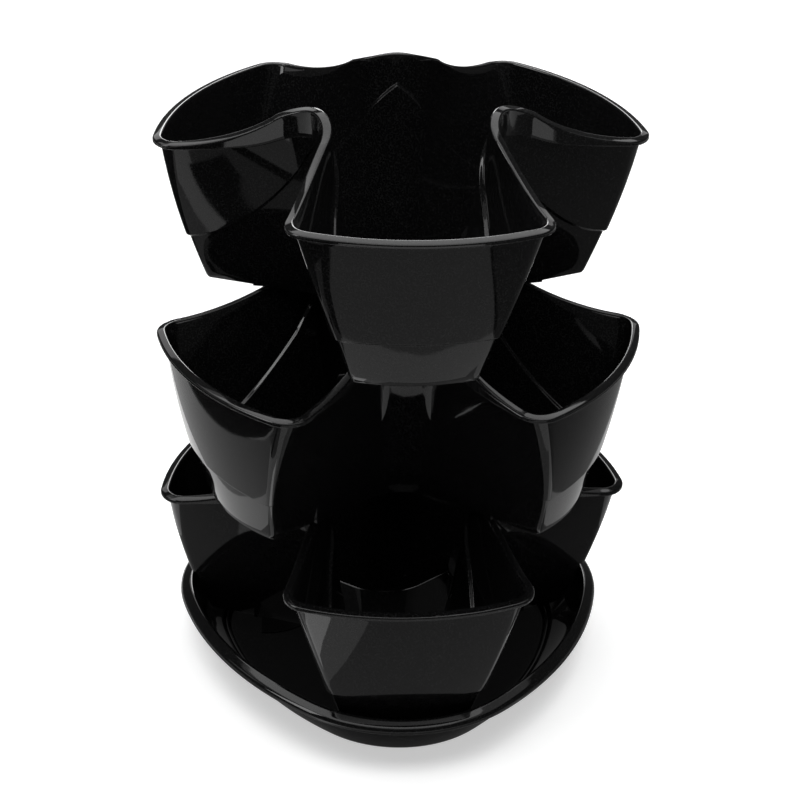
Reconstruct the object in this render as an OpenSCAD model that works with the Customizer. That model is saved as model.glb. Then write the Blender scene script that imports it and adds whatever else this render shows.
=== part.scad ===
// Stacking planter tower: three equal trefoil pots, each turned by half a lobe from the one
// below it, standing on a saucer with three rounded corners. All pieces are thin mouldings.
// The origin is on the stacking axis, at the underside of the saucer, and +Z is up.

/* [Pot rim] */
// Width of a lobe across its two corners, inside the rim
rim_lobe_w = 196; // [188:1:204]
// Reach of a lobe from the stacking axis to the middle of its face, inside the rim
rim_reach = 190; // [186:1:200]
// How far a lobe's face bows out beyond its corners at the rim
rim_bow = 22.8; // [14:0.2:28]
// Radius of a lobe's corners at the rim
rim_corner_r = 14.3; // [10:0.1:20]
// Distance from the stacking axis to the bottom of a notch at the rim
rim_notch_reach = 73.4; // [69:0.2:77]
// Radius of the notch between two lobes at the rim
rim_notch_r = 38.6; // [35:0.2:42]
// Height that the rim climbs from a lobe to the middle of a notch
rim_wave = 41.2; // [35:0.2:46]

/* [Pot belt] */
// Depth of the moulded step below the rim, at a lobe's face
belt_drop = 95.3; // [85:0.1:105]
// Height of the step above the level of the lobes' rim, in the middle of a notch
belt_rise = 17.2; // [10:0.1:22]
// Width of a lobe across its corners at the step
belt_lobe_w = 127.8; // [124:0.2:132]
// Reach of a lobe at the step
belt_reach = 173.6; // [171:0.1:177]
// Bow of a lobe's face at the step
belt_bow = 9.8; // [7:0.1:13]
// Corner radius of a lobe at the step
belt_corner_r = 5.6; // [4.6:0.1:8]
// Distance from the axis to the bottom of a notch at the depth of the step
belt_notch_reach = 58.4; // [56:0.1:61]
// Notch radius at the depth of the step
belt_notch_r = 37.9; // [36:0.1:41]
// How far the wall steps in below the belt
belt_step = 2.8; // [1.5:0.1:3.3]
// Height over which the wall steps in
belt_ledge_h = 2; // [1:0.1:4]

/* [Pot foot] */
// Depth of a pot from the rim of its lobes to its foot
pot_depth = 137.8; // [130:0.2:145]
// Width of a lobe across its corners at the foot
foot_lobe_w = 103.1; // [100:0.1:107]
// Reach of a lobe at the foot
foot_reach = 164.1; // [161:0.1:167]
// Bow of a lobe's face at the foot
foot_bow = 9.8; // [6:0.1:12]
// Corner radius of a lobe at the foot
foot_corner_r = 6.4; // [5:0.1:9]
// Distance from the axis to the bottom of a notch at the foot
foot_notch_reach = 49.2; // [46:0.1:52]
// Notch radius at the foot
foot_notch_r = 46.9; // [44:0.1:51]
// Round of the outer edge of the foot
foot_edge = 1.2; // [0.5:0.1:2]
// Radius of a drain hole
drain_r = 4; // [2:0.5:6]
// Distance of the drain holes from the face of their lobe
drain_inset = 22; // [18:1:28]
// Distance between the two drain holes of a lobe
drain_gap = 50; // [30:1:56]

/* [Mouldings] */
// Thickness of the pots' walls and lips
pot_wall = 2.1; // [1.8:0.1:2.6]
// Thickness of the pots' floors
pot_floor = 2.6; // [2:0.1:3.2]
// Width of a pot's lip beyond the inside of its wall
lip_w = 7.6; // [7:0.1:9]
// Round of the lip's outer edge
lip_round = 2.4; // [1:0.1:2.6]
// Depth of the lip's skirt along a lobe's face
skirt_h = 5.2; // [4.8:0.1:7]
// Depth of the lip's skirt in the middle of a notch
notch_skirt_h = 24.3; // [16:0.1:28]

/* [Stacking seats] */
// Depth of the saddles under a pot that take the crests of the pot below
saddle_depth = 15.7; // [12:0.1:18]
// Angle that a saddle spans about the middle of its notch
saddle_angle = 146; // [144:1:150]
// Free width beside a crest in its saddle, on each side
saddle_play = 3; // [2.7:0.1:3.4]
// Gap between a crest and the roof of its saddle
seat_gap = 0.3; // [0.2:0.05:0.5]

/* [Saucer] */
// Reach of the saucer's corners from the axis, inside its rim
saucer_reach = 184.4; // [182:0.1:200]
// Radius of the saucer's corners inside its rim
saucer_corner_r = 117.2; // [111:0.1:124]
// Radius of the saucer's bowed sides inside its rim
saucer_side_r = 294; // [270:1:340]
// Height of the saucer's rim
saucer_h = 50.7; // [46:0.1:60]
// Width of the saucer's lip
saucer_lip_w = 9.1; // [7:0.1:11]
// Fall of the lip's top from its inner to its outer edge
saucer_lip_fall = 2.2; // [1:0.1:3]
// Depth of the lip's outer edge below the rim
saucer_skirt_h = 9.2; // [7:0.1:12]
// How much smaller the saucer's base is than its rim, all round
saucer_inset = 29.7; // [26:0.1:34]
// Thickness of the saucer's wall and floor
saucer_wall = 2.4; // [2:0.1:3]
// Height of the lowest pot's foot above the saucer's underside
stand_h = 22.5; // [16:0.1:30]
// Thickness of the curved ribs that carry the lowest pot
rib_t = 3; // [2:0.1:4]

/* [Facets] */
// Steps along half of a lobe's face
face_steps = 3; // [2:1:6]
// Steps around a lobe's corner
corner_steps = 4; // [3:1:8]
// Steps along a lobe's side
side_steps = 4; // [3:1:8]
// Steps around half of a notch
notch_steps = 7; // [4:1:10]
// Steps around a half of a saucer's corner, and along half of its side
saucer_steps = 9; // [5:1:14]

/* [Hidden] */
$fn = 48;

// Angle of a lobe's neighbour, and of the notch beside a lobe
lobe_turn = 120;
notch_turn = lobe_turn / 2;
notch_dir = notch_turn - 90;
// The rim's wave: the power of its climb, and how sharply it rounds over at its crest
wave_share = 1.64;
crest_share = 6;
// Part of a smooth climb that the belt follows up to the notch, where its two halves meet in a point
belt_share = 0.72;
// Shapes of the skirt's growth and of the saucer's wall, as powers
skirt_share = 1.13;
bowl_share = 1.3;
// Share of a corner's round that shows in its middle facet
round_share = 1 - cos(45);

tier_pitch = pot_depth + rim_wave - saddle_depth + seat_gap;
// How far every cut runs past the face that it opens
overrun = saddle_depth / 10;

function between(a, b, share) = a + (b - a) * share;
function on_circle(centre, r, angle) = centre + r * [cos(angle), sin(angle)];
function turned(p, angle) =
    [p.x * cos(angle) - p.y * sin(angle), p.x * sin(angle) + p.y * cos(angle), p.z];
function smooth(share) = (1 - cos(180 * share)) / 2;

// A size at height z, on a curve through its values at the rim, the belt and the foot.
// Above the rim of the lobes it runs straight on.
function size_at(z, rim, belt, foot) =
    let (
        belt_slope = (rim - belt) / belt_drop,
        foot_slope = (rim - foot) / pot_depth,
        curve = (belt_slope - foot_slope) / (pot_depth - belt_drop)
    )
    rim + (belt_slope + curve * belt_drop) * z + curve * pow(min(z, 0), 2);

function notch_reach(z) = size_at(z, rim_notch_reach, belt_notch_reach, foot_notch_reach);
function notch_r(z) = size_at(z, rim_notch_r, belt_notch_r, foot_notch_r);

// Half a lobe runs from the middle of its face, which looks along -Y, round its corner and
// along its side to the middle of the notch. A station is one point of it: which of these
// four stretches it lies on, and the share of the stretch that is behind it.
stations = [
    for (i = [0 : face_steps - 1]) [0, i / face_steps],
    for (i = [0 : corner_steps - 1]) [1, i / corner_steps],
    for (i = [0 : side_steps - 1]) [2, i / side_steps],
    for (i = [0 : notch_steps]) [3, i / notch_steps]
];
last = len(stations) - 1;

// The outline's point at a station, at height z and a distance out from the inner wall
function outline_point(z, out, station) =
    let (
        half_w = size_at(z, rim_lobe_w, belt_lobe_w, foot_lobe_w) / 2,
        bow = size_at(z, rim_bow, belt_bow, foot_bow),
        reach = size_at(z, rim_reach, belt_reach, foot_reach),
        corner_r = size_at(z, rim_corner_r, belt_corner_r, foot_corner_r),
        face_r = (half_w * half_w + bow * bow) / (2 * bow),
        face_c = [0, face_r - reach],
        corner = [half_w, bow - reach],
        notch_c = on_circle([0, 0], notch_reach(z) + notch_r(z), notch_dir),
        to_notch = notch_c - corner,
        side_dir = atan2(to_notch.y, to_notch.x) + asin(notch_r(z) / norm(to_notch)),
        along = on_circle([0, 0], 1, side_dir),
        inward = on_circle([0, 0], 1, side_dir + 90),
        from_face = corner + inward * corner_r - face_c,
        back = -from_face * along,
        slide = back - sqrt(back * back - from_face * from_face + pow(face_r - corner_r, 2)),
        round_c = face_c + from_face + along * slide,
        face_end = atan2(round_c.y - face_c.y, round_c.x - face_c.x),
        stretch = station[0],
        share = station[1]
    )
    stretch == 0 ? on_circle(face_c, face_r + out, between(-90, face_end, share))
    : stretch == 1 ? on_circle(round_c, corner_r + out, between(face_end, side_dir - 90, share))
    : stretch == 2 ? between(round_c - inward * (corner_r + out), notch_c + inward * (notch_r(z) - out), share)
    : on_circle(notch_c, notch_r(z) - out, between(side_dir + 90, notch_dir + 180, share));

// Share of the way from a lobe's corner to the middle of the notch, for each station
rim_line = [for (station = stations) outline_point(0, 0, station)];
walked = [
    for (i = 0, d = 0; i <= last; d = d + (i < last ? norm(rim_line[i + 1] - rim_line[i]) : 0), i = i + 1) d
];
corner_walk = (walked[face_steps] + walked[face_steps + corner_steps]) / 2;
climb = [for (d = walked) max(0, (d - corner_walk) / (walked[last] - corner_walk))];

rim_z = [for (share = climb) rim_wave * pow(smooth(pow(share, crest_share)), wave_share / (2 * crest_share))];
belt_z = [for (share = climb) between(-belt_drop, belt_rise, smooth(belt_share * share) / smooth(belt_share))];
skirt = [for (share = climb) between(skirt_h, notch_skirt_h, smooth(pow(share, skirt_share)))];
foot_z = [for (station = stations) -pot_depth];
function lowered(heights, fall) = [for (z = heights) z - fall];
function part_way(low, high, share) = [for (i = [0 : last]) between(low[i], high[i], share)];

// Half a ring: the outline at the given heights, and how far each point is dropped from it
function half_ring(heights, out, drop) = [
    for (i = [0 : last])
        let (p = outline_point(heights[i], out, stations[i]))
        [p.x, p.y, heights[i] - (is_list(drop) ? drop[i] : drop)]
];

// A closed ring of three lobes made from half a lobe, anticlockwise from above
function ring_of_three(half) = [
    for (k = [0 : 2])
        each concat(
            [for (i = [len(half) - 1 : -1 : 1]) turned([-half[i].x, half[i].y, half[i].z], k * lobe_turn)],
            [for (i = [0 : len(half) - 2]) turned(half[i], k * lobe_turn)]
        )
];

// A closed shell over a list of rings, from the middle of its underside round to its inside.
// Its underside and its floor are fans about the axis.
module shell(rings) {
    n = len(rings[0]);
    m = len(rings);
    centres = [[0, 0, rings[0][0].z], [0, 0, rings[m - 1][0].z]];
    sides = [
        for (j = [0 : m - 2], i = [0 : n - 1])
            let (a = j * n + i, b = j * n + (i + 1) % n)
            each [[a, a + n, b + n], [a, b + n, b]]
    ];
    underside = [for (i = [0 : n - 1]) [m * n, i, (i + 1) % n]];
    floor_top = [for (i = [0 : n - 1]) [m * n + 1, (m - 1) * n + (i + 1) % n, (m - 1) * n + i]];
    polyhedron(
        points = concat([for (ring = rings) each ring], centres),
        faces = concat(sides, underside, floor_top)
    );
}

low_out = pot_wall - belt_step;
ledge_z = lowered(belt_z, belt_ledge_h);
pot_rings = [
    half_ring(foot_z, low_out - foot_edge, 0),
    half_ring(lowered(foot_z, -foot_edge), low_out, 0),
    half_ring(ledge_z, low_out, 0),
    half_ring(belt_z, pot_wall, 0),
    half_ring(part_way(belt_z, rim_z, 0.5), pot_wall, 0),
    half_ring(lowered(rim_z, pot_wall), pot_wall, 0),
    half_ring(rim_z, lip_w - pot_wall, pot_wall),
    half_ring(rim_z, lip_w - pot_wall, skirt),
    half_ring(rim_z, lip_w, skirt),
    half_ring(rim_z, lip_w, lip_round),
    half_ring(rim_z, lip_w - lip_round * round_share, lip_round * round_share),
    half_ring(rim_z, lip_w - lip_round, 0),
    half_ring(rim_z, 0, 0),
    half_ring(part_way(rim_z, belt_z, 0.5), 0, 0),
    half_ring(belt_z, 0, 0),
    half_ring(ledge_z, -belt_step, 0),
    half_ring(lowered(foot_z, -pot_floor), -belt_step, 0)
];

// The crests of a rim curve about this distance from the axis, inside each notch
crest_reach = notch_reach(rim_wave) + notch_r(rim_wave);
crest_out_r = notch_r(rim_wave) + saddle_play;
crest_in_r = notch_r(rim_wave) - lip_w - saddle_play;

// A curved bar about the middle of the notch that lies under a lobe
module crest_bar(inner_r, outer_r, angle, z, height) {
    translate([0, -crest_reach, z])
        rotate([0, 0, 90 - angle / 2])
            rotate_extrude(angle = angle)
                translate([inner_r, 0])
                    square([outer_r - inner_r, height]);
}

module each_lobe() {
    for (k = [0 : 2])
        rotate([0, 0, k * lobe_turn])
            children();
}

roof_angle = saddle_angle + 2 * atan(pot_wall / crest_out_r);

module pot() {
    difference() {
        union() {
            shell([for (half = pot_rings) ring_of_three(half)]);
            each_lobe()
                crest_bar(
                    crest_in_r - pot_wall, crest_out_r + pot_wall, roof_angle,
                    pot_floor / 2 - pot_depth, saddle_depth + pot_wall - pot_floor / 2
                );
        }
        each_lobe() {
            crest_bar(crest_in_r, crest_out_r, saddle_angle, -pot_depth - overrun, saddle_depth + overrun);
            for (side = [-1, 1])
                translate([side * drain_gap / 2, drain_inset - foot_reach, -pot_depth - overrun])
                    cylinder(r = drain_r, h = pot_floor + 2 * overrun);
        }
        translate([0, 0, -pot_depth - overrun])
            cylinder(r = drain_r, h = pot_floor + 2 * overrun);
    }
}

// The saucer's outline: half a corner, then half a side, both as arcs that run into each other
corner_c = [0, saucer_corner_r - saucer_reach];
side_c_dist = (corner_c.y + sqrt(4 * pow(saucer_side_r - saucer_corner_r, 2) - 3 * pow(corner_c.y, 2))) / 2;
side_c = on_circle([0, 0], side_c_dist, notch_dir + 180);
corner_end = atan2(corner_c.y - side_c.y, corner_c.x - side_c.x);

function saucer_half(z, out) = [
    for (i = [0 : saucer_steps - 1])
        let (p = on_circle(corner_c, saucer_corner_r + out, between(-90, corner_end, i / saucer_steps)))
        [p.x, p.y, z],
    for (i = [0 : saucer_steps])
        let (p = on_circle(side_c, saucer_side_r + out, between(corner_end, notch_dir, i / saucer_steps)))
        [p.x, p.y, z]
];

saucer_under_lip = saucer_h - saucer_lip_fall - saucer_wall;
// How far in from the rim the bowl's outside is at height z
function bowl_in(z) =
    let (share = 1 - z / saucer_under_lip)
    -saucer_inset * pow(max(0, share), bowl_share) + saucer_wall * (1 - max(0, share));
bowl_heights = [for (share = [0, 0.1, 0.25, 0.5, 0.75]) share * saucer_under_lip];
inner_heights = [for (share = [0.85, 0.6, 0.35, 0.15]) between(saucer_wall, saucer_h, share)];

saucer_rings = concat(
    [for (z = bowl_heights) saucer_half(z, bowl_in(z))],
    [
        saucer_half(saucer_under_lip, saucer_wall),
        saucer_half(saucer_under_lip, saucer_lip_w - saucer_wall),
        saucer_half(saucer_h - saucer_skirt_h, saucer_lip_w - saucer_wall),
        saucer_half(saucer_h - saucer_skirt_h, saucer_lip_w),
        saucer_half(saucer_h - saucer_lip_fall - lip_round, saucer_lip_w),
        saucer_half(saucer_h - saucer_lip_fall, saucer_lip_w - lip_round),
        saucer_half(saucer_h, 0)
    ],
    [for (z = inner_heights) saucer_half(z, bowl_in(z - saucer_wall) - saucer_wall)],
    [saucer_half(saucer_wall, bowl_in(0) - saucer_wall)]
);

crest_mid_r = (crest_in_r + crest_out_r) / 2;
rib_angle = saddle_angle - 2 * atan(saddle_play / crest_mid_r);

module saucer() {
    color("#161718")
        union() {
            shell([for (half = saucer_rings) ring_of_three(half)]);
            each_lobe()
                crest_bar(
                    crest_mid_r - rib_t / 2, crest_mid_r + rib_t / 2, rib_angle,
                    saucer_wall / 2, stand_h + saddle_depth - seat_gap - saucer_wall / 2
                );
        }
}

// A pot in its place in the tower, counted from the saucer up
module pot_in_tier(tier) {
    color("#1b1c1d")
        translate([0, 0, stand_h + pot_depth + tier * tier_pitch])
            rotate([0, 0, tier * notch_turn])
                pot();
}

module bottom_pot() {
    pot_in_tier(0);
}

module middle_pot() {
    pot_in_tier(1);
}

module top_pot() {
    pot_in_tier(2);
}

saucer();
bottom_pot();
middle_pot();
top_pot();
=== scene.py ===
import math

import bmesh
import bpy
from mathutils import Matrix, Vector


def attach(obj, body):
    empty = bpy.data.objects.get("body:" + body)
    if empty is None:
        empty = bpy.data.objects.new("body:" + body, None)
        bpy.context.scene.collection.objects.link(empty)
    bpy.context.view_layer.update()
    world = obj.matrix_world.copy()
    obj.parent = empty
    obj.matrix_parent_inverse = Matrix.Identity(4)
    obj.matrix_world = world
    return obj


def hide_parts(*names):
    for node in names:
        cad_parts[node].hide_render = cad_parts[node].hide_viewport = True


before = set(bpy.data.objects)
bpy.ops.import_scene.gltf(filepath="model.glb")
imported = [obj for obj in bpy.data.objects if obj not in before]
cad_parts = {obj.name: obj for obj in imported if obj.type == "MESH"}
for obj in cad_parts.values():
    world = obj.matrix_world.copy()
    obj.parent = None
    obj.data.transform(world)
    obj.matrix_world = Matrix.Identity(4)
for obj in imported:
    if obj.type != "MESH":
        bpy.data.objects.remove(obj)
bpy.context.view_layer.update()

# Saucer: a tray with three rounded corners, moulded in one shot of black polypropylene. Its
# wall swells up from a flat base to a lip that falls outwards, and three curved ribs on its
# floor fit the saddles of the lowest pot and hold it clear of the drained water.
MM = 0.001
LOBES = 3
NOTCH_DIR = -30
SAUCER_REACH = 184.4
SAUCER_CORNER_R = 117.2
SAUCER_SIDE_R = 294
SAUCER_H = 50.7
SAUCER_WALL = 2.4
SAUCER_LIP_W = 9.1
SAUCER_LIP_FALL = 2.2
SAUCER_SKIRT_H = 9.2
SAUCER_INSET = 29.7
SAUCER_LIP_ROUND = 5.5
SAUCER_TOP_ROUND = 1.2
SAUCER_COLUMNS = 65
BOWL_SHARE = 1.3
BASE_EDGE_H = 1.4
FLOOR_EDGE_H = 3.7
STAND_H = 22.5
RIB_T = 3
RIB_ROUND = 1.1

# Sizes of a pot that the saucer's ribs depend on: its outline at three heights, and its saddles.
RIM = {"lobe_w": 196, "bow": 22.8, "reach": 190, "corner_r": 14.3, "notch_reach": 73.4, "notch_r": 38.6}
BELT = {"lobe_w": 127.8, "bow": 9.8, "reach": 173.6, "corner_r": 5.6, "notch_reach": 58.4, "notch_r": 37.9}
FOOT = {"lobe_w": 103.1, "bow": 9.8, "reach": 164.1, "corner_r": 6.4, "notch_reach": 49.2, "notch_r": 46.9}
POT_DEPTH = 137.8
BELT_DROP = 95.3
RIM_WAVE = 41.2
LIP_W = 7.6
SADDLE_DEPTH = 15.7
SADDLE_ANGLE = 146
SADDLE_PLAY = 3
SEAT_GAP = 0.3


def between(a, b, share):
    return a + (b - a) * share


def size_at(z, key):
    """A pot's size at height z, on a curve through its values at the rim, the belt and the foot."""
    belt_slope = (RIM[key] - BELT[key]) / BELT_DROP
    foot_slope = (RIM[key] - FOOT[key]) / POT_DEPTH
    curve = (belt_slope - foot_slope) / (POT_DEPTH - BELT_DROP)
    return RIM[key] + (belt_slope + curve * BELT_DROP) * z + curve * min(z, 0) ** 2


def on_circle(centre, r, angle):
    turn = math.radians(angle)
    return Vector((centre[0] + r * math.cos(turn), centre[1] + r * math.sin(turn)))


def angle_of(v):
    return math.degrees(math.atan2(v.y, v.x))


def arc(centre_out, centre_z, r, start, end, steps):
    """Points (out, height) along an arc of a section, from one angle to another."""
    turns = [math.radians(between(start, end, k / steps)) for k in range(steps + 1)]
    return [(centre_out + r * math.cos(a), centre_z + r * math.sin(a)) for a in turns]


def three_lobed(name, rows, columns, place):
    """A closed skin over half a lobe, rows of points from the middle of the underside round
    the rim to the middle of the floor, mirrored and repeated for the three lobes."""
    bm = bmesh.new()
    bmesh.ops.create_grid(bm, x_segments=columns - 1, y_segments=rows - 1, size=1)
    for v in bm.verts:
        column = round((v.co.x + 1) / 2 * (columns - 1))
        row = round((v.co.y + 1) / 2 * (rows - 1))
        v.co = Vector(place(row, column)) * MM
    bmesh.ops.mirror(bm, geom=bm.verts[:] + bm.edges[:] + bm.faces[:], axis="X", merge_dist=1e-6)
    bmesh.ops.spin(
        bm,
        geom=bm.verts[:] + bm.edges[:] + bm.faces[:],
        axis=(0, 0, 1),
        cent=(0, 0, 0),
        angle=math.radians(360 / LOBES * (LOBES - 1)),
        steps=LOBES - 1,
        use_duplicate=True,
    )
    bmesh.ops.remove_doubles(bm, verts=bm.verts[:], dist=2e-6)
    bmesh.ops.dissolve_degenerate(bm, edges=bm.edges[:], dist=1e-7)
    bmesh.ops.recalc_face_normals(bm, faces=bm.faces[:])
    return finished(bm, name)


def finished(bm, name):
    mesh = bpy.data.meshes.new(name)
    bm.to_mesh(mesh)
    bm.free()
    piece = bpy.data.objects.new(name, mesh)
    bpy.context.scene.collection.objects.link(piece)
    return piece


crest_r = size_at(RIM_WAVE, "notch_r")
crest_reach = size_at(RIM_WAVE, "notch_reach") + crest_r
crest_in_r = crest_r - LIP_W - SADDLE_PLAY
crest_out_r = crest_r + SADDLE_PLAY
crest_mid_r = (crest_in_r + crest_out_r) / 2


def curved_bar(name, inner_r, outer_r, angle, low, high, top_round):
    """A bar bent like the crest of a rim, with rounded top edges, under each lobe."""
    bm = bmesh.new()
    centre = Vector((0, -crest_reach, 0)) * MM
    section = [(inner_r, low), (outer_r, low)]
    section += arc(outer_r - top_round, high - top_round, top_round, 0, 90, 4)
    section += arc(inner_r + top_round, high - top_round, top_round, 90, 180, 4)
    corners = [bm.verts.new(centre + Vector((r, 0, z)) * MM) for r, z in section]
    face = bm.faces.new(corners)
    start = Matrix.Rotation(math.radians(90 - angle / 2), 3, "Z")
    bmesh.ops.rotate(bm, verts=corners, cent=centre, matrix=start)
    bmesh.ops.spin(
        bm,
        geom=[face],
        axis=(0, 0, 1),
        cent=centre,
        angle=math.radians(angle),
        steps=48,
        use_duplicate=False,
    )
    bmesh.ops.spin(
        bm,
        geom=bm.verts[:] + bm.edges[:] + bm.faces[:],
        axis=(0, 0, 1),
        cent=(0, 0, 0),
        angle=math.radians(360 / LOBES * (LOBES - 1)),
        steps=LOBES - 1,
        use_duplicate=True,
    )
    bmesh.ops.recalc_face_normals(bm, faces=bm.faces[:])
    return finished(bm, name)


def carve(piece, tool, operation):
    """Joins a tool to a piece or cuts it out of the piece, and deletes the tool."""
    step = piece.modifiers.new("carve", "BOOLEAN")
    step.object = tool
    step.operation = operation
    step.solver = "EXACT"
    depsgraph = bpy.context.evaluated_depsgraph_get()
    made = bpy.data.meshes.new_from_object(piece.evaluated_get(depsgraph))
    piece.modifiers.remove(step)
    old = piece.data
    piece.data = made
    made.name = piece.name
    bpy.data.meshes.remove(old)
    bpy.data.objects.remove(tool)


def shade(piece, sharp_over=32):
    piece.data.shade_smooth()
    piece.data.set_sharp_from_angle(angle=math.radians(sharp_over))


corner_c = Vector((0, SAUCER_CORNER_R - SAUCER_REACH))
side_c_dist = (
    corner_c.y + math.sqrt(4 * (SAUCER_SIDE_R - SAUCER_CORNER_R) ** 2 - 3 * corner_c.y**2)
) / 2
side_c = on_circle((0, 0), side_c_dist, NOTCH_DIR + 180)
corner_end = angle_of(corner_c - side_c)
under_lip = SAUCER_H - SAUCER_LIP_FALL - SAUCER_WALL


def bowl_in(z):
    """How far the bowl's outside stands out from the saucer's outline at height z."""
    share = max(0, 1 - z / under_lip)
    return -SAUCER_INSET * share**BOWL_SHARE + SAUCER_WALL * (1 - share)


# The section, as points (out, height): under the base, up the bowl, round the lip's hollow and
# its edge, over its sloping top, and down inside to the floor.
base_out = bowl_in(0)
saucer_section = [(None, 0), (base_out - 8, 0), (base_out - 2.5, 0)]
for k in range(1, 6):
    swell = 2.2 * math.sin(k * math.pi / 10)
    saucer_section.append((base_out - 2 + swell, BASE_EDGE_H * (k / 5) ** 2))
for k in range(17):
    height = between(BASE_EDGE_H + 0.5, under_lip - 1.5, k / 16)
    saucer_section.append((bowl_in(height), height))
saucer_section += arc(SAUCER_WALL + 1.5, under_lip - 1.5, 1.5, 180, 90, 3)
saucer_section += arc(SAUCER_LIP_W - SAUCER_WALL - 1, under_lip - 1, 1, 90, 0, 3)
skirt_end_r = SAUCER_WALL / 2
skirt_end_z = SAUCER_H - SAUCER_SKIRT_H + 1
saucer_section += arc(SAUCER_LIP_W - skirt_end_r, skirt_end_z, skirt_end_r, 180, 360, 8)
lip_c = Vector((SAUCER_LIP_W - SAUCER_LIP_ROUND, SAUCER_H - SAUCER_LIP_FALL - SAUCER_LIP_ROUND))
lip_top = Vector((SAUCER_TOP_ROUND / 2, SAUCER_H - SAUCER_TOP_ROUND / 10))
to_c = lip_c - lip_top
lip_lean = angle_of(to_c) + math.degrees(math.asin(SAUCER_LIP_ROUND / to_c.length))
saucer_section += arc(lip_c.x, lip_c.y, SAUCER_LIP_ROUND, 0, 90 + lip_lean, 12)
lip_start = Vector(saucer_section[-1])
saucer_section += [tuple(lip_start.lerp(lip_top, k / 4)) for k in range(1, 5)]
saucer_section += arc(-0.3, SAUCER_H - 1.3, SAUCER_TOP_ROUND, 75, 180, 6)
for k in range(21):
    height = between(SAUCER_H - 3, SAUCER_WALL + FLOOR_EDGE_H + 0.9, k / 20)
    saucer_section.append((bowl_in(height - SAUCER_WALL) - SAUCER_WALL, height))
floor_edge = bowl_in(2.2) - SAUCER_WALL
for k in range(7):
    inwards = 0.6 + 5 * (k / 6) + 3.4 * (k / 6) ** 2
    saucer_section.append((floor_edge - inwards, SAUCER_WALL + FLOOR_EDGE_H * (1 - k / 6) ** 2))
saucer_section += [(floor_edge - 12, SAUCER_WALL), (None, SAUCER_WALL)]


def saucer_place(row, column):
    out, z = saucer_section[row]
    if out is None:
        return 0, 0, z
    half = (SAUCER_COLUMNS - 1) / 2
    if column < half:
        p = on_circle(corner_c, SAUCER_CORNER_R + out, between(-90, corner_end, column / half))
    else:
        p = on_circle(side_c, SAUCER_SIDE_R + out, between(corner_end, NOTCH_DIR, column / half - 1))
    return p.x, p.y, z


saucer = three_lobed("saucer_tray", len(saucer_section), SAUCER_COLUMNS, saucer_place)
rib_angle = SADDLE_ANGLE - 2 * math.degrees(math.atan(SADDLE_PLAY / crest_mid_r))
rib_top = STAND_H + SADDLE_DEPTH - SEAT_GAP
rib_in_r = crest_mid_r - RIB_T / 2
ribs = curved_bar("ribs", rib_in_r, rib_in_r + RIB_T, rib_angle, SAUCER_WALL / 2, rib_top, RIB_ROUND)
carve(saucer, ribs, "UNION")
shade(saucer)


class Wire:
    """One output of a node. Arithmetic on it adds Math nodes to the same tree."""

    def __init__(self, tree, socket):
        self.tree = tree
        self.socket = socket

    def maths(self, operation, *values):
        return self.tree.node("ShaderNodeMath", {"operation": operation}, dict(enumerate(values)))

    def __add__(self, other):
        return self.maths("ADD", self, other)

    def __sub__(self, other):
        return self.maths("SUBTRACT", self, other)

    def __rsub__(self, other):
        return self.maths("SUBTRACT", other, self)

    def __mul__(self, other):
        return self.maths("MULTIPLY", self, other)

    __radd__ = __add__
    __rmul__ = __mul__

    def limited(self):
        return self.tree.node("ShaderNodeClamp", {}, {"Value": self})


class Tree:
    """A material's or the world's node tree, with one method that adds any node."""

    def __init__(self, owner):
        owner.use_nodes = True
        self.nodes = owner.node_tree.nodes
        self.links = owner.node_tree.links
        self.nodes.clear()

    def node(self, kind, settings=None, inputs=None, output=0):
        made = self.nodes.new(kind)
        for name, value in (settings or {}).items():
            setattr(made, name, value)
        for name, value in (inputs or {}).items():
            if isinstance(value, Wire):
                self.links.new(value.socket, made.inputs[name])
            else:
                made.inputs[name].default_value = value
        return Wire(self, made.outputs[output]) if len(made.outputs) else made

    def noise(self, where, scale, detail, rough):
        inputs = {"Vector": where, "Scale": scale, "Detail": detail, "Roughness": rough}
        return self.node("ShaderNodeTexNoise", {}, inputs)

    def mixed(self, factor, first, second):
        inputs = {"Factor": factor, "A": (*first, 1), "B": (*second, 1)}
        return self.node("ShaderNodeMix", {"data_type": "RGBA"}, inputs, 2)


PLASTIC_IOR = 1.49
SPECULAR_LEVEL = 0.2
FLECK_START = 0.46
FLECK_SHARPNESS = 4
UNEVENNESS = 0.02
GRIT_HEIGHT = 0.2 * MM


def moulded_plastic(name, colour, fleck_colour, gloss, grain):
    """Glossy moulded polypropylene: a near-black body with fine pale flecks, faint flow lines
    down the walls and the slight ripple of a mould's polish."""
    material = bpy.data.materials.new(name)
    tree = Tree(material)
    where = tree.node("ShaderNodeTexCoord", output="Object")
    down_walls = {0: where, 1: (1, 1, 0.12)}
    stretched = tree.node("ShaderNodeVectorMath", {"operation": "MULTIPLY"}, down_walls)
    speck = tree.noise(where, scale=700, detail=1, rough=0.5)
    flow = tree.noise(stretched, scale=160, detail=3, rough=0.55)
    ripple = tree.noise(where, scale=38, detail=2, rough=0.4)
    grit = tree.noise(where, scale=850, detail=2, rough=0.6)
    flecks = ((speck - FLECK_START) * FLECK_SHARPNESS).limited()
    body = tree.mixed(flecks, colour, fleck_colour)
    rough = (ripple + flow + flecks - 1) * UNEVENNESS + gloss
    relief = {"Strength": grain, "Distance": GRIT_HEIGHT, "Height": grit + flow * 0.4}
    bump = tree.node("ShaderNodeBump", {}, relief)
    finish = {"Base Color": body, "Roughness": rough, "Normal": bump}
    constants = {"IOR": PLASTIC_IOR, "Specular IOR Level": SPECULAR_LEVEL}
    shader = tree.node("ShaderNodeBsdfPrincipled", {}, finish | constants)
    tree.node("ShaderNodeOutputMaterial", {}, {"Surface": shader})
    return material


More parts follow.
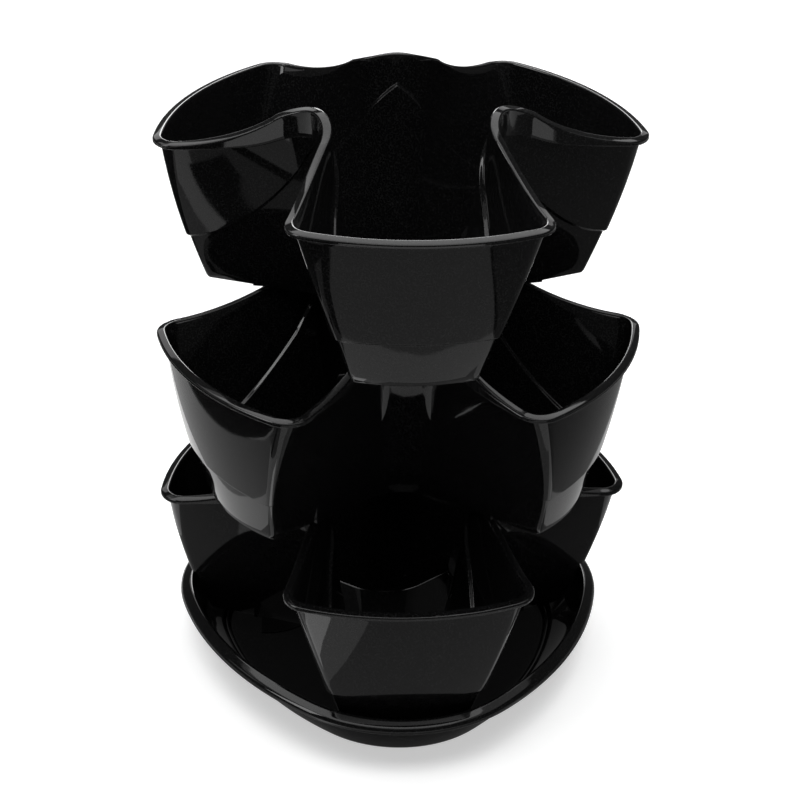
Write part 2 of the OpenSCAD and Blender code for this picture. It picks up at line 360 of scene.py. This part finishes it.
SAUCER_BLACK = (0.0022, 0.0022, 0.0023)
SAUCER_FLECK = (0.008, 0.008, 0.0082)
saucer_plastic = moulded_plastic("saucer_plastic", SAUCER_BLACK, SAUCER_FLECK, gloss=0.05, grain=0.025)
saucer.data.materials.clear()
saucer.data.materials.append(saucer_plastic)
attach(saucer, "saucer")
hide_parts("saucer")

# Pots: three equal trefoil mouldings in the same glossy black polypropylene. The rim waves up
# into each notch and turns over as a lip with a skirt, a stepped belt climbs with it, and the
# floor has channels that drop over the crests of the pot below, with drain holes beside them.
BELT_RISE = 17.2
BELT_STEP = 2.8
LEDGE_H = 2
LEDGE_SOFT = 0.7
LEDGE_STEEP = 1.3
WAVE_SHARE = 1.64
BELT_SHARE = 0.72
CREST_SHARE = 6
SKIRT_SHARE = 1.13
SKIRT_H = 5.2
NOTCH_SKIRT_H = 24.3
POT_WALL = 2.1
POT_FLOOR = 2.6
FOOT_EDGE = 1.2
FLOOR_FILLET = 1
ROW_GAP = 0.8
LIP_ROUND = 1.8
LIP_IN_ROUND = 1.7
LIP_FALL = 1.6
ROOF_ROUND = 0.6
SADDLE_ROUND = 1.2
DRAIN_R = 4
DRAIN_FLARE = 1
DRAIN_INSET = 22
DRAIN_GAP = 50
CUT_PAST = 1
TIER_PITCH = POT_DEPTH + RIM_WAVE - SADDLE_DEPTH + SEAT_GAP
STRETCHES = [12, 12, 12, 22]  # columns on a lobe's face, corner and side, and into the notch


def outline_point(z, out, stretch, share):
    """A point of half a lobe's outline: on its face, its corner, its side or the notch."""
    half_w = size_at(z, "lobe_w") / 2
    bow = size_at(z, "bow")
    corner_r = size_at(z, "corner_r")
    notch_r = size_at(z, "notch_r")
    face_r = (half_w**2 + bow**2) / (2 * bow)
    face_c = Vector((0, face_r - size_at(z, "reach")))
    corner = Vector((half_w, bow - size_at(z, "reach")))
    notch_c = on_circle((0, 0), size_at(z, "notch_reach") + notch_r, NOTCH_DIR)
    to_notch = notch_c - corner
    side_dir = angle_of(to_notch) + math.degrees(math.asin(notch_r / to_notch.length))
    along = on_circle((0, 0), 1, side_dir)
    inward = on_circle((0, 0), 1, side_dir + 90)
    from_face = corner + inward * corner_r - face_c
    back = -from_face.dot(along)
    slide = back - math.sqrt(back**2 - from_face.length_squared + (face_r - corner_r) ** 2)
    round_c = face_c + from_face + along * slide
    face_end = angle_of(round_c - face_c)
    if stretch == 0:
        return on_circle(face_c, face_r + out, between(-90, face_end, share))
    if stretch == 1:
        return on_circle(round_c, corner_r + out, between(face_end, side_dir - 90, share))
    if stretch == 2:
        start = round_c - inward * (corner_r + out)
        return start.lerp(notch_c + inward * (notch_r - out), share)
    return on_circle(notch_c, notch_r - out, between(side_dir + 90, NOTCH_DIR + 180, share))


def smooth(share):
    return (1 - math.cos(math.pi * share)) / 2


stations = [(s, k / n) for s, n in enumerate(STRETCHES) for k in range(n)] + [(3, 1)]
rim_line = [outline_point(0, 0, *station) for station in stations]
walked = [0]
for a, b in zip(rim_line, rim_line[1:]):
    walked.append(walked[-1] + (b - a).length)
corner_walk = walked[STRETCHES[0] + STRETCHES[1] // 2]
climb = [max(0, (d - corner_walk) / (walked[-1] - corner_walk)) for d in walked]
rim_z = [RIM_WAVE * smooth(c**CREST_SHARE) ** (WAVE_SHARE / (2 * CREST_SHARE)) for c in climb]
belt_z = [between(-BELT_DROP, BELT_RISE, smooth(BELT_SHARE * c) / smooth(BELT_SHARE)) for c in climb]
skirt = [between(SKIRT_H, NOTCH_SKIRT_H, smooth(c**SKIRT_SHARE)) for c in climb]
foot_z = [-POT_DEPTH] * len(stations)


def shifted(heights, rise):
    return [z + rise for z in heights]


def part_way(low, high, share):
    return [between(a, b, share) for a, b in zip(low, high)]


def wall(low, high, out, steps):
    """Rows of a plain wall between two heights, each of them one number per station."""
    return [(part_way(low, high, k / steps), out, 0) for k in range(steps + 1)]


def ledge(low, high, out_low, out_high, steps):
    """Rows of a moulded step with soft edges, from the lower wall out to the upper one."""
    rows = []
    for share in [k / steps for k in range(1, steps)]:
        steep = min(1, max(0, 0.5 + LEDGE_STEEP * (share - 0.5)))
        rows.append((part_way(low, high, share), between(out_low, out_high, smooth(steep)), 0))
    return rows


def rounded(heights, centre_out, centre_drop, r, start, end, steps):
    """Rows round an edge that follows the rim or the foot."""
    corner = arc(centre_out, -centre_drop, r, start, end, steps)
    return [(heights, out, -z) for out, z in corner]


# The rows of a pot's skin, each as heights, distance out and drop below the heights: under the
# foot, up the outside, round the lip's hollow and its skirt, over the lip and down the inside.
low_out = POT_WALL - BELT_STEP
foot_out = low_out - FOOT_EDGE
step_low_z = shifted(belt_z, -LEDGE_H - LEDGE_SOFT)
step_high_z = shifted(belt_z, LEDGE_SOFT)
floor_z = shifted(foot_z, POT_FLOOR)
pot_rows = [(foot_z, foot_out, 0, s) for s in (0, 0.5, 0.95, 0.992)]
pot_rows += rounded(foot_z, foot_out, -FOOT_EDGE, FOOT_EDGE, -90, 0, 4)
pot_rows += wall(shifted(foot_z, FOOT_EDGE + ROW_GAP), step_low_z, low_out, 9)
pot_rows += ledge(step_low_z, step_high_z, low_out, POT_WALL, 12)
pot_rows += wall(step_high_z, shifted(rim_z, -POT_WALL - 1.5), POT_WALL, 14)
hollow_out = LIP_W - POT_WALL
hollow = [(POT_WALL + 0.4, 0.4), (POT_WALL + 1.5, 0), (hollow_out - 1.2, 0), (hollow_out - 0.3, 0.4)]
pot_rows += [(rim_z, out, POT_WALL + drop) for out, drop in hollow]
skirt_round = POT_WALL / 2
for share in (0.25, 0.6, 0.9):
    pot_rows.append((rim_z, hollow_out, [between(POT_WALL + 1, s - skirt_round, share) for s in skirt]))
for out, drop in arc(LIP_W - skirt_round, skirt_round, skirt_round, 180, 360, 8):
    pot_rows.append((rim_z, out, [s - drop for s in skirt]))
slope = math.degrees(math.atan2(LIP_FALL, LIP_W - LIP_ROUND))
edge_drop = LIP_FALL + LIP_ROUND * (1 - math.sin(math.radians(slope)))
for share in (0.15, 0.5, 0.85):
    pot_rows.append((rim_z, LIP_W, [between(s - skirt_round, edge_drop, share) for s in skirt]))
pot_rows += rounded(rim_z, LIP_W - LIP_ROUND, edge_drop, LIP_ROUND, 0, 90 - slope, 8)
pot_rows += rounded(rim_z, LIP_IN_ROUND, LIP_IN_ROUND, LIP_IN_ROUND, 90 - slope, 180, 8)
pot_rows += wall(shifted(rim_z, -LIP_IN_ROUND - 0.9), step_high_z, 0, 15)
pot_rows += reversed(ledge(step_low_z, step_high_z, -BELT_STEP, 0, 12))
pot_rows += wall(step_low_z, shifted(floor_z, FLOOR_FILLET + ROW_GAP), -BELT_STEP, 9)
for out, z in arc(-FLOOR_FILLET, FLOOR_FILLET, FLOOR_FILLET, 0, -90, 6):
    pot_rows.append((shifted(floor_z, z), out - BELT_STEP, 0))
pot_rows += [(floor_z, -BELT_STEP - FLOOR_FILLET, 0, s) for s in (0.993, 0.95, 0.5, 0)]


def pot_place(row, column):
    heights, out, drop, *shrink = pot_rows[row]
    z = heights[column] - (drop[column] if isinstance(drop, list) else drop)
    p = outline_point(heights[column], out, *stations[column]) * (shrink[0] if shrink else 1)
    return p.x, p.y, z


def drain_cutter():
    """Seven pegs with flared ends: one on the axis, and two in each lobe."""
    bm = bmesh.new()
    flare = DRAIN_R + DRAIN_FLARE
    profile = [(0, -CUT_PAST), (flare, -CUT_PAST), (flare, -0.3), (DRAIN_R, 0.8)]
    profile += [(r, POT_FLOOR - z) for r, z in reversed(profile)]
    spots = [Vector((0, 0, 0))]
    for lobe in range(LOBES):
        turn = Matrix.Rotation(math.radians(lobe * 360 / LOBES), 3, "Z")
        for side in (-1, 1):
            spots.append(turn @ Vector((side * DRAIN_GAP / 2, DRAIN_INSET - FOOT["reach"], 0)))
    for spot in spots:
        foot = spot + Vector((0, 0, -POT_DEPTH))
        points = [bm.verts.new((foot + Vector((r, 0, z))) * MM) for r, z in profile]
        edges = [bm.edges.new(pair) for pair in zip(points, points[1:])]
        bmesh.ops.spin(
            bm,
            geom=points + edges,
            axis=(0, 0, 1),
            cent=foot * MM,
            angle=math.tau,
            steps=32,
            use_merge=True,
        )
    bmesh.ops.remove_doubles(bm, verts=bm.verts[:], dist=1e-6)
    bmesh.ops.recalc_face_normals(bm, faces=bm.faces[:])
    return finished(bm, "drains")


pot = three_lobed("pot", len(pot_rows), len(stations), pot_place)
roof_angle = SADDLE_ANGLE + 2 * math.degrees(math.atan(POT_WALL / crest_out_r))
roof_in_r = crest_in_r - POT_WALL
roof_out_r = crest_out_r + POT_WALL
floor_mid = POT_FLOOR / 2 - POT_DEPTH
saddle_top = SADDLE_DEPTH - POT_DEPTH
roof = curved_bar("roof", roof_in_r, roof_out_r, roof_angle, floor_mid, saddle_top + POT_WALL, ROOF_ROUND)
carve(pot, roof, "UNION")
below = -POT_DEPTH - CUT_PAST
saddle = curved_bar("saddle", crest_in_r, crest_out_r, SADDLE_ANGLE, below, saddle_top, SADDLE_ROUND)
carve(pot, saddle, "DIFFERENCE")
carve(pot, drain_cutter(), "DIFFERENCE")
shade(pot)
POT_BLACK = (0.0025, 0.0025, 0.0026)
POT_FLECK = (0.0095, 0.0095, 0.0097)
pot_plastic = moulded_plastic("pot_plastic", POT_BLACK, POT_FLECK, gloss=0.035, grain=0.02)
pot.data.materials.clear()
pot.data.materials.append(pot_plastic)

for tier, body in enumerate(("bottom_pot", "middle_pot", "top_pot")):
    mesh = pot.data.copy()
    turn = Matrix.Rotation(math.radians(tier * 180 / LOBES), 4, "Z")
    rise = Matrix.Translation((0, 0, (STAND_H + POT_DEPTH + tier * TIER_PITCH) * MM))
    mesh.transform(rise @ turn)
    mesh.name = body + "_shell"
    tier_pot = bpy.data.objects.new(body + "_shell", mesh)
    bpy.context.scene.collection.objects.link(tier_pot)
    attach(tier_pot, body)
    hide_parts(body)
bpy.data.objects.remove(pot)

# Floor: a large plain white disc that takes the tower's shadow. A glow that only the rays that
# show the background see keeps it white, and grows outwards, where the lamp's light fades.
FLOOR_R = 9
FLOOR_Z = -0.0005
FLOOR_PAINT = (0.8, 0.8, 0.8, 1)
GLOW = 0.86
NEAR_GLOW = (0.58, 0.58, 0.58)
FAR_GLOW = (1, 1, 1)
FADE_START = 1.2
FADE_RATE = 0.45


def background_rays(tree):
    """1 for a ray that shows the background, directly or in gloss or glass, and 0 for others."""
    paths = [
        tree.node("ShaderNodeLightPath", output="Is " + kind + " Ray")
        for kind in ("Camera", "Glossy", "Transmission")
    ]
    return (paths[0] + paths[1] + paths[2]).limited()


bm = bmesh.new()
bmesh.ops.create_circle(bm, cap_ends=True, segments=96, radius=FLOOR_R)
bmesh.ops.translate(bm, verts=bm.verts[:], vec=(0, 0, FLOOR_Z))
floor = finished(bm, "floor")
floor_white = bpy.data.materials.new("floor_white")
tree = Tree(floor_white)
paint = tree.node("ShaderNodeBsdfDiffuse", {}, {"Color": FLOOR_PAINT})
where = tree.node("ShaderNodeTexCoord", output="Object")
distance = tree.node("ShaderNodeVectorMath", {"operation": "LENGTH"}, {0: where}, 1)
far = ((distance - FADE_START) * FADE_RATE).limited()
tone = tree.mixed(far, NEAR_GLOW, FAR_GLOW)
strength = background_rays(tree) * GLOW
glow = tree.node("ShaderNodeEmission", {}, {"Color": tone, "Strength": strength})
both = tree.node("ShaderNodeAddShader", {}, {0: paint, 1: glow})
tree.node("ShaderNodeOutputMaterial", {}, {"Surface": both})
floor.data.materials.append(floor_white)

# Studio: a white surround, one large softbox overhead, and cards that only reflections see.
# The cards give the gloss the dark room, the grey table and the bright backdrop and panels
# that the photograph shows mirrored in it; a dark disc under the saucer is a painted contact shadow.
ROOM_R = 3.2
ROOM_H = 3.2
ROOM_SIDES = 12
ROOM_TONE = 0.12
ROOM_LIGHT = 0.2
BACK_Y = 2.2
SIDE_X = -2.2


def card(name, level, corners):
    """A flat card of one brightness that only reflections see."""
    bm = bmesh.new()
    bm.faces.new([bm.verts.new(corner) for corner in corners])
    made = finished(bm, name)
    material = bpy.data.materials.new(name)
    tree = Tree(material)
    tone = tree.node("ShaderNodeEmission", {}, {"Color": (1, 1, 1, 1), "Strength": level})
    tree.node("ShaderNodeOutputMaterial", {}, {"Surface": tone})
    made.data.materials.append(material)
    made.visible_camera = False
    made.visible_diffuse = False
    made.visible_transmission = False
    made.visible_shadow = False


def lying(name, level, millimetres_up, *points):
    """A card that lies on the floor, or on other cards."""
    card(name, level, [(x, y, millimetres_up * MM) for x, y in points])


def panel_behind(name, level, x_from, x_to, z_from, z_to):
    """An upright card behind the tower."""
    corners = [(x_from, z_from), (x_to, z_from), (x_to, z_to), (x_from, z_to)]
    card(name, level, [(x, BACK_Y, z) for x, z in corners])


def panel_beside(name, level, y_from, y_to, z_from, z_to):
    """An upright card to the left of the tower."""
    corners = [(y_from, z_from), (y_to, z_from), (y_to, z_to), (y_from, z_to)]
    card(name, level, [(SIDE_X, y, z) for y, z in corners])


def circle(r, steps):
    return [tuple(on_circle((0, 0), r, 360 * k / steps)) for k in range(steps)]


# Corners of the grey table as the gloss shows it, left and right from its outer end.
left_edge = [(-0.9, -3), (-0.55, -1.1), (-0.4, -0.66), (-0.48, -0.5), (-0.46, 0), (-0.48, 3)]
right_edge = [(0.345, -0.1), (0.3, -0.4), (0.39, -0.65), (0.62, -1.2), (1.1, -3)]
front_edge = [(0.3, -0.4), (0.15, -0.45), (0, -0.47), (-0.12, -0.46), (-0.23, -0.42)]
grey_corner = [(-0.48, -0.5), (-0.4, -0.66), (-0.23, -0.42)]
lying("dark_left", 0.03, 1, (-1.2, 3), (-1.2, -3), *left_edge)
lying("grey_left", 0.35, 1, (-0.21, -0.32), (-0.46, -0.19), *grey_corner)
lying("dark_patch", 0.03, 2, (-0.4, -0.21), (-0.345, -0.24), (-0.32, -0.4), (-0.36, -0.38))
lying("dark_edge", 0.04, 2, (-0.22, -0.41), (-0.39, -0.66), (-0.45, -0.66), (-0.3, -0.44))
lying("table_left", 0.6, 1, (-0.33, 0.8), (-0.48, 0.8), (-0.46, -0.21), (-0.33, -0.15))
lying("near_left", 0.4, 1, (-0.26, 0.2), (-0.26, -0.15), (-0.185, -0.15), (-0.185, 0.2))
lying("near_right", 0.15, 1, (0.185, 0.2), (0.185, -0.15), (0.27, -0.15), (0.27, 0.2))
lying("strip_right", 0.65, 1, (0.27, 0.6), (0.27, -0.1), (0.345, -0.1), (0.345, 0.6))
lying("grey_right", 0.2, 1, *right_edge, (1.3, -3), (1.3, 3), (0.345, 3))
lying("dark_line", 0.03, 2, (0.3, -0.4), (0.39, -0.65), (0.405, -0.65), (0.312, -0.4))
lying("table_front", 0.7, 1, *reversed(left_edge[:3]), *reversed(right_edge[2:]), *front_edge)
near_edge = [(-0.06, -0.33), (0, -0.335), (0.25, -0.3), (0.2, -0.15), (0.1, -0.19)]
lying("table_near", 0.55, 1, (-0.1, -0.19), *near_edge)
lying("bright_near", 4, 1, (-0.12, -0.2), (-0.2, -0.2), (-0.2, -0.28), (-0.14, -0.31))
# Painted shadow: a dark disc under the saucer, seen only in reflections, stands in for the saucer's
# contact shadow on the floor.
lying("saucer_shadow_card", 0.06, 3, *circle(0.185, 48))
panel_behind("backdrop", 12, -0.45, 0.45, 1.2, 2.2)
panel_behind("backdrop_beside_left", 2, -1.1, -0.5, 1.1, 1.9)
panel_behind("backdrop_beside_right", 1.5, 0.5, 1.2, 1.1, 1.9)
lying("dark_back", 0.1, 1, (-1.2, 3), (-0.47, 1), (0.345, 1), (1.2, 3))
lying("bright_front", 2.4, 2, (-0.53, -1.02), (-0.95, -3), (1.15, -3), (0.53, -1.02))
panel_beside("side_panel", 10, -0.95, -0.1, 0.9, 2.6)
panel_beside("backdrop_left", 1.5, 0.25, 0.75, 1.1, 1.9)
ring = circle(ROOM_R, ROOM_SIDES)
for k, (a, b) in enumerate(zip(ring, ring[1:] + ring[:1])):
    card("room_" + str(k + 1), ROOM_TONE, [(*a, 0), (*b, 0), (*b, ROOM_H), (*a, ROOM_H)])

world = bpy.data.worlds.new("surround")
bpy.context.scene.world = world
tree = Tree(world)
strength = background_rays(tree) * (1 - ROOM_LIGHT) + ROOM_LIGHT
sky = tree.node("ShaderNodeBackground", {}, {"Color": (1, 1, 1, 1), "Strength": strength})
tree.node("ShaderNodeOutputWorld", {}, {"Surface": sky})

SOFTBOX_AT = (-0.15, 0.1, 1.85)
SOFTBOX_W = 2.4
SOFTBOX_WATTS = 55
light = bpy.data.lights.new("top_softbox", "AREA")
light.size = SOFTBOX_W
light.energy = SOFTBOX_WATTS
softbox = bpy.data.objects.new("top_softbox", light)
bpy.context.scene.collection.objects.link(softbox)
softbox.location = SOFTBOX_AT

# Camera: a fit to the photograph's rims, belts, feet and saucer edges puts it a little over two
# metres from the tower, looking down on it from slightly to one side of its front.
SENSOR_W = 36
FOCAL_PX = 2580.68
FRAME_PX = 800
DISTANCE = 2.1566
AIM_Z = 0.2939
STAND_ANGLE = 27.727
PITCH = 28.789
YAW = 0.085
ROLL = 1.584
OBJECT_TURN = 5.145
elevation = math.radians(STAND_ANGLE)
pitch, yaw, roll = math.radians(PITCH), math.radians(YAW), math.radians(ROLL)
place = Vector((0, 0, AIM_Z)) + DISTANCE * Vector((0, -math.cos(elevation), math.sin(elevation)))
level_forward = Vector((math.sin(yaw), math.cos(yaw), 0))
forward = level_forward * math.cos(pitch) - Vector((0, 0, math.sin(pitch)))
right = Vector((math.cos(yaw), -math.sin(yaw), 0))
up = right.cross(forward)
rolled_right = right * math.cos(roll) + up * math.sin(roll)
rolled_up = up * math.cos(roll) - right * math.sin(roll)
axes = Matrix((rolled_right, rolled_up, -forward)).transposed().to_4x4()
camera_data = bpy.data.cameras.new("camera")
camera_data.sensor_width = SENSOR_W
camera_data.lens = FOCAL_PX / FRAME_PX * SENSOR_W
camera_data.clip_end = 50
camera = bpy.data.objects.new("camera", camera_data)
bpy.context.scene.collection.objects.link(camera)
around = Matrix.Rotation(math.radians(-OBJECT_TURN), 4, "Z")
camera.matrix_world = around @ Matrix.Translation(place) @ axes
bpy.context.scene.camera = camera
bpy.context.scene.view_settings.view_transform = "Standard"
